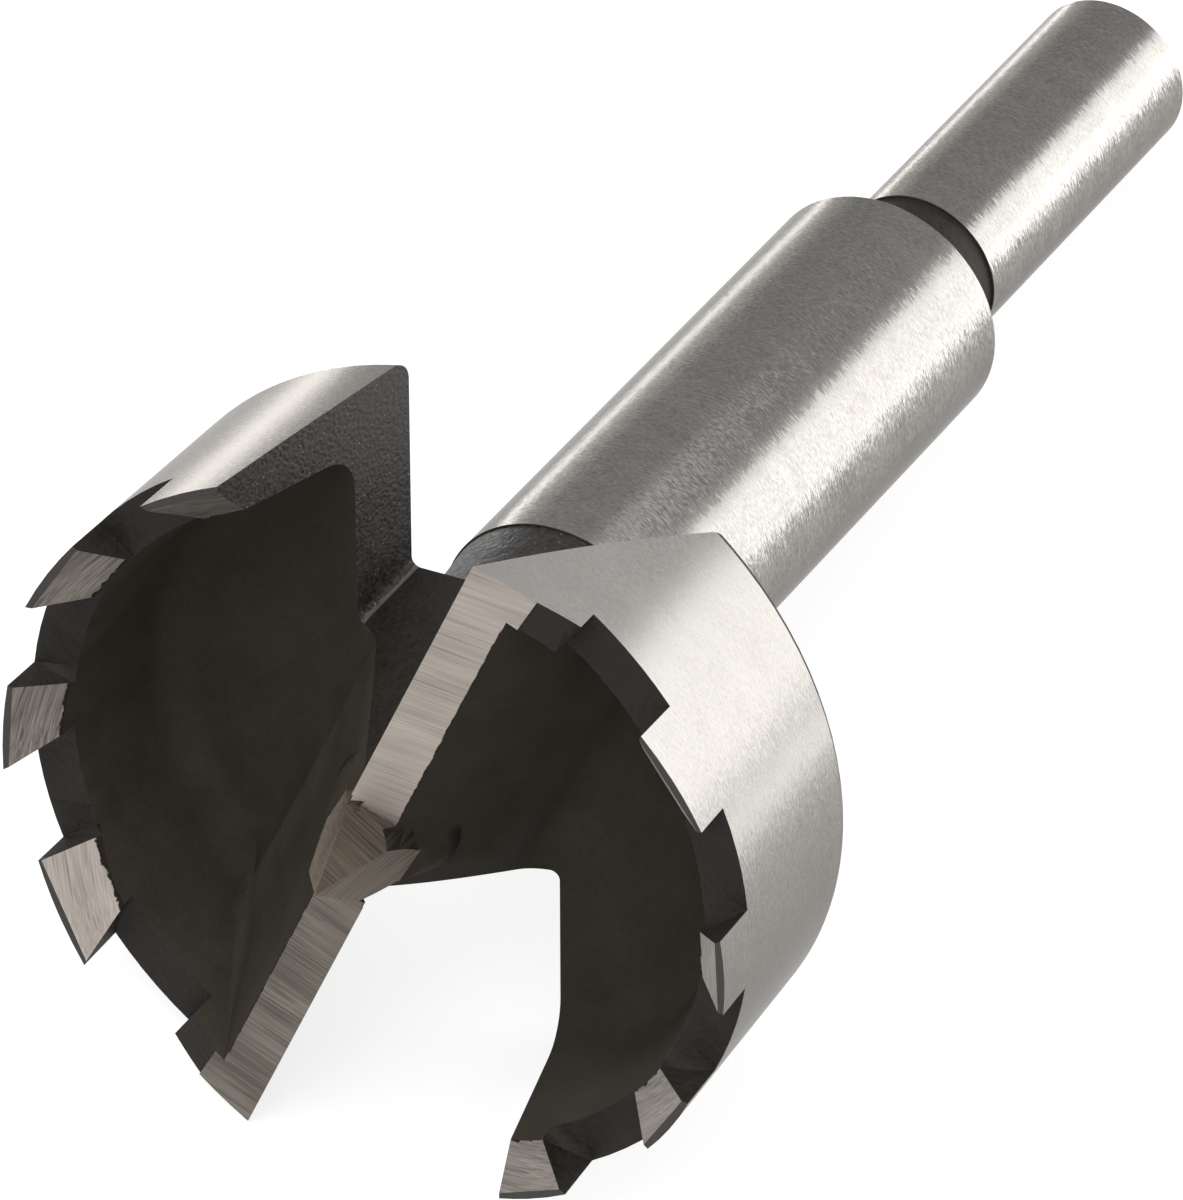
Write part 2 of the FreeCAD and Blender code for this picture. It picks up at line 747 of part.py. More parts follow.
def floor_edges(shape):
    """Edges where the pocket floor meets the rim and the cutter's back."""
    level = -SIZE["pocket_floor"]
    wall = wall_radius(level)
    angle, offset = slope_line(level, "")[:2]

    def on_border(point):
        if abs(point.z - level) > 0.01:
            return False
        across = abs(-sin(angle) * point.x + cos(angle) * point.y)
        return (abs(math.hypot(point.x, point.y) - wall) < 0.02
                or abs(across - abs(offset)) < 0.02)
    return edges_where(shape, on_border)


def fold_point(height):
    """Point where the end face and the web face meet at one height."""
    top = END_CLEARANCE
    low = -SIZE["head_height"] - END_CLEARANCE
    share = (top - height) / (top - low)
    ends = [meet(end_line(z, "")[:2], web_line(z, "")[:2]) for z in (top, low)]
    return [ends[0][i] * (1 - share) + ends[1][i] * share for i in (0, 1)]


def gullet_edges(shape):
    """Edges where the end face and the web face of a gullet meet."""
    def on_fold(point):
        x, y = fold_point(point.z)
        side = 1 if point.x * x + point.y * y > 0 else -1
        return math.hypot(side * point.x - x, side * point.y - y) < 0.02
    return edges_where(shape, on_fold)


def round_edges(doc, body, name, edges, radius):
    """Round edges with one radius."""
    if not edges:
        raise ValueError("no edges for " + name)
    base = body.Tip
    fillet = body.newObject("PartDesign::Fillet", name)
    fillet.Base = (base, edges)
    fillet.setExpression("Radius", size(radius))
    body.Tip = fillet
    doc.recompute()
    return fillet


def rest(body):
    """Lay the bit down on its gullet corners and shank end."""
    tilt = Rotation(Vector(1, 0, 0), 90 - SIZE["rest_tilt"])
    roll = Rotation(Vector(0, 0, 1), SIZE["rest_roll"])
    body.Placement = FreeCAD.Placement(Vector(0, 0, 0), tilt.multiply(roll))
    box = body.Shape.optimalBoundingBox(True, False)
    middle = box.Center
    body.Placement.Base = Vector(-middle.x, -middle.y, -box.ZMin)


def check_objects(doc):
    """Make sure that every object was built without an error."""
    for item in doc.Objects:
        if "Invalid" in item.State or "Error" in item.State:
            raise ValueError("object not built: " + item.Name)


def write_part(doc, body):
    """Check the finished body and write it as one solid."""
    check_objects(doc)
    shape = body.Shape
    if shape.isNull() or not shape.isValid() or len(shape.Solids) != 1:
        raise ValueError("the bit is not one valid solid")
    body.Label = NODE
    shape.exportStep("parts/%s.step" % NODE)
    print(NODE, round(shape.Volume, 1), "mm3")


def main():
    os.makedirs("parts", exist_ok=True)
    doc = FreeCAD.newDocument("ForstnerBit")
    make_sheet(doc)
    body = doc.addObject("PartDesign::Body", "Bit")
    doc.recompute()
    make_blank(doc, body)
    round_edges(doc, body, "BackRound", back_edges(body.Shape), "head_back_round")
    round_edges(doc, body, "CollarFillet", collar_edges(body.Shape), "collar_fillet")
    cuts = [make_gullet(doc, body), make_pocket(doc, body)]
    for number in TEETH:
        cuts.append(make_gap(doc, body, number))
        cuts.append(make_tooth_top(doc, body, number))
        cuts.append(make_tooth_bevel(doc, body, number))
    cuts.append(make_strip(doc, body))
    cuts.append(make_land(doc, body))
    repeat_opposite(doc, body, "SecondHalf", cuts)
    make_hub(doc, body)
    faces = [make_point_face(doc, body), make_point_flank(doc, body)]
    repeat_opposite(doc, body, "PointSecondHalf", faces)
    round_edges(doc, body, "FloorFillet", floor_edges(body.Shape), "floor_fillet")
    round_edges(doc, body, "GulletFillet", gullet_edges(body.Shape), "gullet_corner")
    rest(body)
    doc.recompute()
    write_part(doc, body)


if __name__ == "__main__":
    main()
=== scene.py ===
import json
import logging
import math
from dataclasses import dataclass, field
from enum import Enum
from typing import Any

import bmesh
import bpy
import numpy as np
from mathutils import Matrix, Vector


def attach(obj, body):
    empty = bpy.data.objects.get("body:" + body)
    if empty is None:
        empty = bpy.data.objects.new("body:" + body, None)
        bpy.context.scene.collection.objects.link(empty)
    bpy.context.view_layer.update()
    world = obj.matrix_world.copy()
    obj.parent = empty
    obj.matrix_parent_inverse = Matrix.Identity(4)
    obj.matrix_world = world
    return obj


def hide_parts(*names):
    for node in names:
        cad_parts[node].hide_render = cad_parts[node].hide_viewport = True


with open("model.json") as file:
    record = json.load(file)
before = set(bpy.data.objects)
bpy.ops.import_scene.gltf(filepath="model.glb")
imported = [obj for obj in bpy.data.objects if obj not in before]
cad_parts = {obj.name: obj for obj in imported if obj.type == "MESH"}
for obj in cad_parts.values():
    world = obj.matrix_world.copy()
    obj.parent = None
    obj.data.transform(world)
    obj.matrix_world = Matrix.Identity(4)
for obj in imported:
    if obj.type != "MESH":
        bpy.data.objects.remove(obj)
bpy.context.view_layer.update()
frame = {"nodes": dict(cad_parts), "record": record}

log = logging.getLogger("forstner_bit")

BODY = "root"
NODE = "forstner_bit"
MM = 0.001

# How much of a ground surface's pattern its coarse lines give, and how much its fine ones.
COARSE_SHARE = 0.55
FINE_SHARE = 0.45

Colour = tuple[float, float, float]
Direction = tuple[float, float, float]
Point = tuple[float, float, float]
Span = tuple[float, float]


@dataclass(frozen=True)
class BitAxes:
    """Where the bit's own axes lie: +Z along the bit towards its point, +X along the first cutter.

    The face plane, where the two cutters' edges end, is z = 0, and lengths on these axes are in mm.
    """

    roll: float = 82.0
    tilt: float = 11.03
    face_to_grip: float = 77.6

    def turn(self) -> np.ndarray:
        """The 3 x 3 turn from the bit's axes to the frame: a roll about Z, then the head tipped down."""
        roll = Matrix.Rotation(math.radians(self.roll), 3, "Z")
        tip = Matrix.Rotation(math.radians(90 - self.tilt), 3, "X")
        return np.array(tip @ roll)

    def origin(self) -> np.ndarray:
        """The centre of the face plane in the frame, in mm: back from the shank mount's middle."""
        mount = frame["record"]["mounts"][0]
        middle = np.array(mount["pos_m"]) / MM
        return middle + self.turn() @ np.array([0.0, 0.0, self.face_to_grip])

    def to_frame(self, points: np.ndarray) -> np.ndarray:
        """Points on the bit's axes, in mm, as points of the frame, in metres."""
        return (points @ self.turn().T + self.origin()) * MM

    def to_bit(self, points: np.ndarray) -> np.ndarray:
        """Points of the frame, in metres, as points on the bit's axes, in mm."""
        return (points / MM - self.origin()) @ self.turn()

    def turn_to_bit(self, directions: np.ndarray) -> np.ndarray:
        """Directions of the frame as directions on the bit's axes."""
        return directions @ self.turn()

    def turn_to_frame(self, directions: np.ndarray) -> np.ndarray:
        """Directions on the bit's axes as directions of the frame."""
        return directions @ self.turn().T


AXES = BitAxes()


class Value:
    """A number that changes over a surface: one node socket that takes Python's arithmetic."""

    def __init__(self, graph: "Graph", socket: bpy.types.NodeSocket) -> None:
        """Wraps a socket of that graph."""
        self.graph = graph
        self.socket = socket

    def __add__(self, other: Any) -> "Value":
        """This and the other added."""
        return self.graph.maths("ADD", self, other)

    __radd__ = __add__

    def __sub__(self, other: Any) -> "Value":
        """This less the other."""
        return self.graph.maths("SUBTRACT", self, other)

    def __rsub__(self, other: Any) -> "Value":
        """The other less this."""
        return self.graph.maths("SUBTRACT", other, self)

    def __mul__(self, other: Any) -> "Value":
        """This times the other."""
        return self.graph.maths("MULTIPLY", self, other)

    __rmul__ = __mul__

    def __pow__(self, other: Any) -> "Value":
        """This to the other's power."""
        return self.graph.maths("POWER", self, other)

    def clamp(self) -> "Value":
        """This held between 0 and 1."""
        return self.graph.maths("ADD", self, 0.0, clamp=True)

    def step(self, low: float, high: float) -> "Value":
        """0 below low, 1 above high, and a smooth rise between them."""
        limits = {"Value": self, "From Min": low, "From Max": high}
        ramp = self.graph.node("MapRange", {"interpolation_type": "SMOOTHSTEP"}, limits)
        return Value(self.graph, ramp.outputs[0])


class Graph:
    """The node tree of one finish, with the coordinates that its patterns follow."""

    def __init__(self, name: str) -> None:
        """Starts an empty material of that name."""
        self.material = bpy.data.materials.new(name)
        self.material.use_nodes = True
        self.tree = self.material.node_tree
        self.tree.nodes.clear()

    def node(self, kind: str, settings: dict | None = None, inputs: dict | None = None) -> bpy.types.Node:
        """Adds one shader node.

        Args:
            kind: the node's type, without its ShaderNode prefix.
            settings: the node's own settings, set before its sockets.
            inputs: values or links by socket name or number.

        Returns:
            The new node.
        """
        made = self.tree.nodes.new("ShaderNode" + kind)
        for key, value in (settings or {}).items():
            setattr(made, key, value)
        for key, value in (inputs or {}).items():
            self.feed(made.inputs[key], value)
        return made

    def feed(self, socket: bpy.types.NodeSocket, value: Any) -> None:
        """Links a Value or a socket to that input, or writes a plain number, colour or vector in it."""
        if isinstance(value, Value):
            value = value.socket
        if isinstance(value, bpy.types.NodeSocket):
            self.tree.links.new(value, socket)
        elif isinstance(value, tuple) and socket.type == "RGBA":
            socket.default_value = (*value, 1.0)
        else:
            socket.default_value = value

    def maths(self, operation: str, first: Any, second: Any = 0.0, clamp: bool = False) -> Value:
        """One Math node on two numbers."""
        settings = {"operation": operation, "use_clamp": clamp}
        return Value(self, self.node("Math", settings, {0: first, 1: second}).outputs[0])

    def vector(
        self, operation: str, first: Any, second: Any = None, scale: Any = None
    ) -> bpy.types.NodeSocket:
        """One Vector Math node whose result is a vector."""
        inputs = {0: first}
        if second is not None:
            inputs[1] = second
        if scale is not None:
            inputs["Scale"] = scale
        return self.node("VectorMath", {"operation": operation}, inputs).outputs["Vector"]

    def dot(self, first: Any, second: Any) -> Value:
        """The dot product of two vectors."""
        made = self.node("VectorMath", {"operation": "DOT_PRODUCT"}, {0: first, 1: second})
        return Value(self, made.outputs["Value"])

    def mix(self, factor: Any, low: Any, high: Any) -> bpy.types.NodeSocket:
        """One colour that goes to another as the factor goes from 0 to 1."""
        colour_low, colour_high, colour_out = 6, 7, 2
        inputs = {0: factor, colour_low: low, colour_high: high}
        return self.node("Mix", {"data_type": "RGBA"}, inputs).outputs[colour_out]

    def bit_place(self) -> bpy.types.NodeSocket:
        """The place on the bit's own axes, in mm, from the piece's Object coordinates."""
        back = Matrix(AXES.turn().T.tolist())
        start = back @ Vector(AXES.origin())
        inputs = {
            "Vector": self.node("TexCoord").outputs["Object"],
            "Location": -start,
            "Rotation": back.to_euler("XYZ"),
            "Scale": Vector((1 / MM, 1 / MM, 1 / MM)),
        }
        return self.node("Mapping", {"vector_type": "POINT"}, inputs).outputs[0]

    def round_place(self, reach: float) -> bpy.types.NodeSocket:
        """The place unrolled round the bit's axis: the way round at that reach, the radius and the height."""
        parts = self.node("SeparateXYZ", None, {0: self.bit_place()})
        x, y, z = (Value(self, parts.outputs[axis]) for axis in "XYZ")
        angle = self.maths("ARCTAN2", y, x)
        radius = (x * x + y * y) ** 0.5
        return self.node("CombineXYZ", None, {"X": angle * reach, "Y": radius, "Z": z}).outputs[0]

    def stretched(
        self, place: Any, run: float, width: float, way: Direction = (0.0, 0.0, 1.0)
    ) -> bpy.types.NodeSocket:
        """A pattern's coordinates, drawn out or pressed together along one way.

        Args:
            place: the place to start from.
            run: the pattern's size along the way, in mm.
            width: its size across the way, in mm.
            way: the direction that the run is measured along; by default the bit's axis.

        Returns:
            The place with its X along the way, in units of the run, and its Y and Z in units of the width.
        """
        back = Vector(way).to_track_quat("X", "Z").inverted().to_euler()
        turned = self.node("Mapping", {"vector_type": "POINT"}, {"Vector": place, "Rotation": back})
        return self.vector("MULTIPLY", turned.outputs[0], Vector((1 / run, 1 / width, 1 / width)))

    def noise(self, place: Any, scale: float, detail: float, rough: float = 0.5) -> Value:
        """Smooth noise about 0.5 at that place."""
        inputs = {"Vector": place, "Scale": scale, "Detail": detail, "Roughness": rough}
        made = self.node("TexNoise", {"noise_dimensions": "3D"}, inputs)
        return Value(self, made.outputs["Fac"])

    def cells(self, place: Any, scale: float, feature: str = "F1") -> Value:
        """The distance to the middle of the nearest of many scattered cells."""
        inputs = {"Vector": place, "Scale": scale}
        made = self.node("TexVoronoi", {"feature": feature}, inputs)
        return Value(self, made.outputs["Distance"])

    def facing(self) -> bpy.types.NodeSocket:
        """The surface's own normal."""
        return self.node("NewGeometry").outputs["Normal"]

    def edge_mask(self, radius: float, low: float, high: float) -> Value:
        """A mask of sharp edges: 1 where a rounding of that radius, in mm, would turn the normal most."""
        rounded = self.node("Bevel", {"samples": 4}, {"Radius": radius * MM}).outputs[0]
        return (1.0 - self.dot(rounded, self.facing())).step(low, high)

    def bump(self, height: Value, depth: float) -> bpy.types.NodeSocket:
        """The normal of a surface whose relief is that height times a depth in mm."""
        inputs = {"Strength": 1.0, "Distance": depth * MM, "Height": height}
        return self.node("Bump", None, inputs).outputs[0]

    def shader(self, **sockets: Any) -> bpy.types.Material:
        """Ends the tree with a Principled shader.

        Args:
            sockets: values or links, by socket name with _ for each space.

        Returns:
            The finished material.
        """
        inputs = {name.replace("_", " "): value for name, value in sockets.items()}
        shader = self.node("BsdfPrincipled", None, inputs)
        self.node("OutputMaterial", None, {"Surface": shader.outputs[0]})
        return self.material


@dataclass(frozen=True)
class TurnedFinish:
    """Bright steel, ground round the bit's axis: short fine scratches that run round it.

    A width is a pattern's size along the axis and a length its size round it, in mm, and the fine
    scratches' sizes are shares of those. A tone is how strongly a pattern lightens and darkens the
    steel.
    """

    name: str
    colour: Colour = (0.280, 0.268, 0.254)
    edge_tint: Colour = (0.55, 0.54, 0.53)
    contrast: float = 0.22
    rough_low: float = 0.20
    rough_high: float = 0.25
    waver: float = 0.20
    mottle: float = 0.12
    lean: float = 0.40
    length: float = 0.62
    width: float = 0.06
    fine_length: float = 0.45
    fine_width: float = 0.55
    grain_length: float = 0.24
    grain_width: float = 0.12
    cloud_length: float = 5.0
    cloud_width: float = 1.6
    scratch_tone: float = 3.2
    grain_tone: float = 1.2
    cloud_tone: float = 0.6

    def material(self) -> bpy.types.Material:
        """The scratches: noise drawn out round the axis, which tips the normal round it and along it."""
        graph = Graph(self.name)
        place = graph.bit_place()
        thin, short = self.width * self.fine_width, self.length * self.fine_length
        coarse = graph.noise(graph.stretched(place, self.width, self.length), 1.0, 1.0)
        fine = graph.noise(graph.stretched(place, thin, short), 1.0, 0.0)
        grain = graph.noise(graph.stretched(place, self.grain_width, self.grain_length), 1.0, 1.0)
        broad = graph.noise(graph.stretched(place, self.cloud_width, self.cloud_length), 1.0, 1.0)
        scratch = coarse * COARSE_SHARE + fine * FINE_SHARE
        shade = (scratch - 0.5) * self.scratch_tone + (grain - 0.5) * self.grain_tone
        shade = (shade + (broad - 0.5) * self.cloud_tone + 0.5).clamp()
        dark = tuple(c * (1 - self.contrast) for c in self.colour)
        light = tuple(c * (1 + self.contrast) for c in self.colour)
        normal = graph.facing()
        axis = Vector(AXES.turn_to_frame(np.array([0.0, 0.0, 1.0])))
        round_it = graph.vector("CROSS_PRODUCT", axis, normal)
        sway = (coarse - 0.5) * self.waver + (grain - 0.5) * self.mottle
        waver = graph.vector("SCALE", round_it, scale=sway)
        lean = graph.vector("SCALE", axis, scale=(scratch - 0.5) * self.lean)
        tipped = graph.vector("ADD", graph.vector("ADD", normal, waver), lean)
        return graph.shader(
            Base_Color=graph.mix(shade, dark, light),
            Metallic=1.0,
            Specular_Tint=self.edge_tint,
            Roughness=self.rough_low + (self.rough_high - self.rough_low) * shade,
            Normal=graph.vector("NORMALIZE", tipped),
        )


@dataclass(frozen=True)
class GroundFlatFinish:
    """A flat that a wheel ground: light steel with straight fine lines in one direction.

    The lines go from the deep colour to the light one. The run is their size along their way and
    lines their size across it, in mm. The fine lines' and the scores' sizes are shares of those.
    Where frayed_from is given, the flat ends there in a ragged edge, past which the bare forged skin
    is left: a height on a land, a radius on a flat that is unrolled round the axis.
    """

    name: str
    colour: Colour
    deep: Colour
    way: Direction
    lines: float
    grain: float
    run: float = 7.0
    unrolled: float = 0.0
    seen_along_axis: bool = False
    bare: Colour = (0.020, 0.0175, 0.015)
    fine_run: float = 0.5
    fine_width: float = 0.45
    burn: float = 0.35
    burn_run: float = 9.0
    burn_width: float = 1.7
    score: float = 0.22
    score_run: float = 0.7
    score_width: float = 1.3
    score_range: Span = (0.66, 0.74)
    metal: float = 0.75
    rough: float = 0.42
    relief: float = 0.008
    level: float = 0.62
    # Painted light: how much lighter the flat is made on one side of the head than on the other.
    painted_side_light: float = 0.0
    side_way: Direction = (1.0, 0.0, 0.0)
    side_range: Span = (-2.5, 2.5)
    sheen: float = 0.5
    frayed_from: float | None = None
    fray: float = 0.10
    land_blur: float = 0.005
    round_blur: float = 0.03
    tab_reach: Span = (19.0, 19.4)

    def material(self) -> bpy.types.Material:
        """The lines: noise drawn out along one direction, with single deep scores and broad darker burns."""
        graph = Graph(self.name)
        place = graph.round_place(self.unrolled) if self.unrolled else graph.bit_place()
        if self.seen_along_axis:
            place = graph.vector("MULTIPLY", place, Vector((1.0, 1.0, 0.0)))
        short, thin = self.run * self.fine_run, self.lines * self.fine_width
        score_run, score_width = self.run * self.score_run, self.lines * self.score_width
        coarse = graph.noise(graph.stretched(place, self.run, self.lines, self.way), 1.0, 2.0, 0.6)
        fine = graph.noise(graph.stretched(place, short, thin, self.way), 1.0, 1.0)
        broad = graph.noise(graph.stretched(place, self.burn_run, self.burn_width, self.way), 1.0, 2.0)
        scores = graph.noise(graph.stretched(place, score_run, score_width, self.way), 1.0, 0.0)
        lines = coarse * COARSE_SHARE + fine * FINE_SHARE
        # Painted light: the flat is made lighter on one side of the head than on the other.
        side = self.painted_light_by_side(graph)
        shade = (lines - 0.5) * self.grain - (broad - 0.5) * self.burn * 2
        shade = shade - scores.step(*self.score_range) * self.score
        shade = (shade + side + self.level).clamp()
        colour, metal, sheen = graph.mix(shade, self.deep, self.colour), self.metal, self.sheen
        if self.frayed_from is not None:
            whole = self.whole_edge(graph)
            colour = graph.mix(whole, self.bare, colour)
            metal, sheen = whole * metal, whole * sheen
        return graph.shader(
            Base_Color=colour,
            Metallic=metal,
            Roughness=self.rough + (shade - 0.5) * 0.12,
            Specular_IOR_Level=sheen,
            Normal=graph.bump(lines, self.relief),
        )

    def whole_edge(self, graph: Graph) -> Value:
        """1 on the ground flat and 0 past its frayed edge, where the forged skin is left.

        On a land the tab at the rim, out past tab_reach along the cutter, is ground all over.
        """
        place = graph.round_place(self.unrolled) if self.unrolled else graph.bit_place()
        parts = graph.node("SeparateXYZ", None, {0: place}).outputs
        jag = (graph.noise(graph.bit_place(), 1.3, 2.0, 0.6) - 0.5) * self.fray
        blur = self.round_blur if self.unrolled else self.land_blur
        start, end = self.frayed_from - blur, self.frayed_from + blur
        if self.unrolled:
            return (Value(graph, parts["Y"]) + jag).step(start, end)
        across = Value(graph, parts["X"])
        inside = (Value(graph, parts["Z"]) + jag).step(start, end)
        tab = (across * across).step(self.tab_reach[0] ** 2, self.tab_reach[1] ** 2)
        return graph.maths("MAXIMUM", inside, tab)

    def painted_light_by_side(self, graph: Graph) -> Any:
        """Painted light: one side of the head made lighter than the other, where different light and
        reflections fall on the two sides.

        The change lies along side_way, between the two places of side_range, in mm from the axis.
        """
        if not self.painted_side_light:
            return 0.0
        across = graph.dot(graph.bit_place(), Vector(self.side_way))
        return (across.step(*self.side_range) - 0.5) * self.painted_side_light


@dataclass(frozen=True)
class ScaleFinish:
    """Forged and blackened steel: a dark oxide skin, pebbled where the die left it rough.

    The skin goes from its colour to the pale one. The pebbles' size is in mm, and where it is 0 the
    relief is plain noise. Specks and the lighter edges are shares, and 0 leaves them out. The lighter
    edges are partly worn bare and partly a painted highlight where light catches them.
    """

    name: str
    colour: Colour
    pale: Colour
    pebble: float = 0.30
    pebble_depth: float = 0.02
    painted_relief_shade: float = 0.6
    sheen: float = 0.28
    rough: float = 0.55
    specks: float = 0.0
    speck_gap: float = 0.55
    speck_colour: Colour = (0.34, 0.33, 0.31)
    speck_edge: Span = (0.05, 0.17)
    speck_patches: Span = (0.44, 0.60)
    wear_and_highlight: float = 0.0
    worn_highlight_colour: Colour = (0.20, 0.19, 0.175)
    edge_radius: float = 0.09
    edge_turn: Span = (0.03, 0.35)
    worn_highlight_patches: Span = (0.38, 0.62)
    cloud_scale: float = 0.32
    cloud_tone: float = 1.4
    grain_scale: float = 7.0
    grain_tone: float = 1.1
    pit_share: float = 0.7
    pit_level: float = 0.35

    def material(self) -> bpy.types.Material:
        """The skin: cloudy browns, a relief with its shade painted into the colour, and any bright specks and
        lighter edges, these partly worn bare and partly a painted highlight.
        """
        graph = Graph(self.name)
        place = graph.bit_place()
        cloud = graph.noise(place, self.cloud_scale, 3.0, 0.6)
        grain = graph.noise(place, self.grain_scale, 2.0, 0.6)
        if self.pebble:
            pits = graph.cells(place, 1 / self.pebble, "SMOOTH_F1")
        else:
            pits = graph.noise(place, 2.0, 1.0)
        shade = (cloud - 0.5) * self.cloud_tone + (grain - 0.5) * self.grain_tone
        # Painted shade: the pebbles' rims made lighter and their pits darker, following the relief.
        shade = (shade + (pits - self.pit_level) * self.painted_relief_shade + 0.5).clamp()
        colour = graph.mix(shade, self.colour, self.pale)
        if self.specks:
            dots = 1.0 - graph.cells(place, 1 / self.speck_gap).step(*self.speck_edge)
            speck = dots * graph.noise(place, 1.3, 2.0).step(*self.speck_patches) * self.specks
            colour = graph.mix(speck, colour, self.speck_colour)
        # Sharp edges lightened in patches: partly worn bare and partly a painted highlight.
        if self.wear_and_highlight:
            edge = graph.edge_mask(self.edge_radius, *self.edge_turn)
            edge = edge * graph.noise(place, 2.2, 1.0).step(*self.worn_highlight_patches) * self.wear_and_highlight
            colour = graph.mix(edge, colour, self.worn_highlight_colour)
        height = pits * self.pit_share + grain * (1 - self.pit_share)
        return graph.shader(
            Base_Color=colour,
            Roughness=self.rough + (shade - 0.5) * 0.16,
            Specular_IOR_Level=self.sheen,
            Normal=graph.bump(height, self.pebble_depth),
        )


class Surface(Enum):
    """The bit's kinds of surface, in the order of its material slots."""

    SKIN = 0
    POCKET = 1
    END_FACE = 2
    WALL = 3
    STRIP = 4
    TOOTH_TOP = 5
    BEVEL = 6
    POINT_FACE = 7
    POINT_FLANK = 8
    STEM = 9
    STEM_END = 10
    FOLD = 11
    COLLAR = 12


@dataclass(frozen=True)
class Palette:
    """The finish of each kind of surface."""

    skin: ScaleFinish = ScaleFinish(
        "forged_skin",
        colour=(0.0105, 0.0090, 0.0070),
        pale=(0.0245, 0.0208, 0.0170),
        pebble_depth=0.065,
        rough=0.6,
        sheen=0.18,
        wear_and_highlight=0.3,
    )
    pocket: ScaleFinish = ScaleFinish(
        "milled_pocket",
        colour=(0.029, 0.0252, 0.0188),
        pale=(0.048, 0.0420, 0.0328),
        pebble=0.0,
        pebble_depth=0.012,
        painted_relief_shade=0.3,
        sheen=0.06,
        rough=0.7,
    )
    end_face: ScaleFinish = ScaleFinish(
        "pebbled_end_face",
        colour=(0.010, 0.0087, 0.0075),
        pale=(0.036, 0.0320, 0.0285),
        pebble=0.24,
        pebble_depth=0.06,
        painted_relief_shade=1.6,
        sheen=0.36,
        rough=0.44,
        specks=0.9,
        speck_gap=0.34,
        wear_and_highlight=0.9,
    )
    wall: TurnedFinish = TurnedFinish(
        "ground_wall",
        contrast=0.11,
        rough_low=0.24,
        rough_high=0.28,
        waver=0.06,
        mottle=0.06,
        lean=0.09,
    )
    strip: GroundFlatFinish = GroundFlatFinish(
        "ground_strip",
        colour=(0.44, 0.393, 0.346),
        deep=(0.09, 0.076, 0.0635),
        way=(0.15, -0.989, 0.0),
        lines=0.10,
        grain=1.2,
        run=9.0,
        seen_along_axis=True,
        level=0.46,
        # Painted light: the strip on one cutter made lighter than on the other.
        painted_side_light=0.62,
        frayed_from=-0.500,
        fray=0.030,
    )
    tooth_top: ScaleFinish = ScaleFinish(
        "tooth_top_skin",
        colour=(0.030, 0.027, 0.024),
        pale=(0.050, 0.045, 0.041),
    )
    bevel: GroundFlatFinish = GroundFlatFinish(
        "ground_tooth",
        colour=(0.42, 0.377, 0.339),
        deep=(0.07, 0.0605, 0.0515),
        way=(0.95, 0.10, 0.29),
        lines=0.11,
        grain=1.6,
        run=5.0,
        unrolled=21.0,
        level=0.465,
        # Painted light: the teeth on one side of the head made lighter than on the other.
        painted_side_light=0.44,
        side_way=(-0.6, -0.8, 0.0),
        side_range=(-14.0, -3.0),
        frayed_from=19.95,
        fray=0.7,
    )
    # Painted shade: the ground face coloured dark brown and dull, standing in for the little light it
    # reflects.
    point_face: GroundFlatFinish = GroundFlatFinish(
        "ground_point_face_painted_shade",
        colour=(0.092, 0.071, 0.054),
        deep=(0.026, 0.019, 0.014),
        way=(-0.09, -0.987, 0.135),
        lines=0.20,
        grain=3.4,
        metal=0.0,
        rough=0.55,
        relief=0.02,
        sheen=0.12,
    )
    point_flank: GroundFlatFinish = GroundFlatFinish(
        "ground_point_flank",
        colour=(0.23, 0.190, 0.152),
        deep=(0.070, 0.056, 0.043),
        way=(0.78, -0.35, -0.52),
        lines=0.13,
        grain=3.6,
        metal=0.15,
        rough=0.5,
        # Painted light: one flank made darker than the other.
        painted_side_light=-0.3,
        sheen=0.12,
    )
    # Lighter than the skin round it: a line along the fold, partly worn and partly a painted highlight.
    fold: ScaleFinish = ScaleFinish(
        "fold_painted_highlight_and_worn",
        colour=(0.060, 0.056, 0.051),
        pale=(0.115, 0.108, 0.100),
        pebble=0.24,
        pebble_depth=0.02,
        rough=0.5,
    )
    collar: ScaleFinish = ScaleFinish(
        "pebbled_collar",
        colour=(0.005, 0.0044, 0.0038),
        pale=(0.026, 0.0232, 0.0208),
        pebble=0.30,
        pebble_depth=0.08,
        # Painted shade: the bumps made to stand out as a light from one side would show them.
        painted_relief_shade=1.9,
        sheen=0.30,
        rough=0.48,
        specks=0.5,
        speck_gap=0.40,
        wear_and_highlight=0.6,
    )
    stem: TurnedFinish = TurnedFinish("ground_stem")
    stem_end: TurnedFinish = TurnedFinish(
        "turned_end",
        colour=(0.24, 0.23, 0.22),
        rough_low=0.3,
        rough_high=0.45,
    )

    def materials(self) -> list[bpy.types.Material]:
        """One material for each kind of surface, in its order."""
        finishes = {
            Surface.SKIN: self.skin,
            Surface.POCKET: self.pocket,
            Surface.END_FACE: self.end_face,
            Surface.WALL: self.wall,
            Surface.STRIP: self.strip,
            Surface.TOOTH_TOP: self.tooth_top,
            Surface.BEVEL: self.bevel,
            Surface.POINT_FACE: self.point_face,
            Surface.POINT_FLANK: self.point_flank,
            Surface.STEM: self.stem,
            Surface.STEM_END: self.stem_end,
            Surface.FOLD: self.fold,
            Surface.COLLAR: self.collar,
        }
        return [finishes[kind].material() for kind in Surface]


def hand_in(piece: bpy.types.Object, materials: list[bpy.types.Material]) -> None:
    """Gives a piece its materials and its body, and hides the solid's node that it stands for."""
    for material in materials:
        piece.data.materials.append(material)
    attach(piece, BODY)
    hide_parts(NODE)


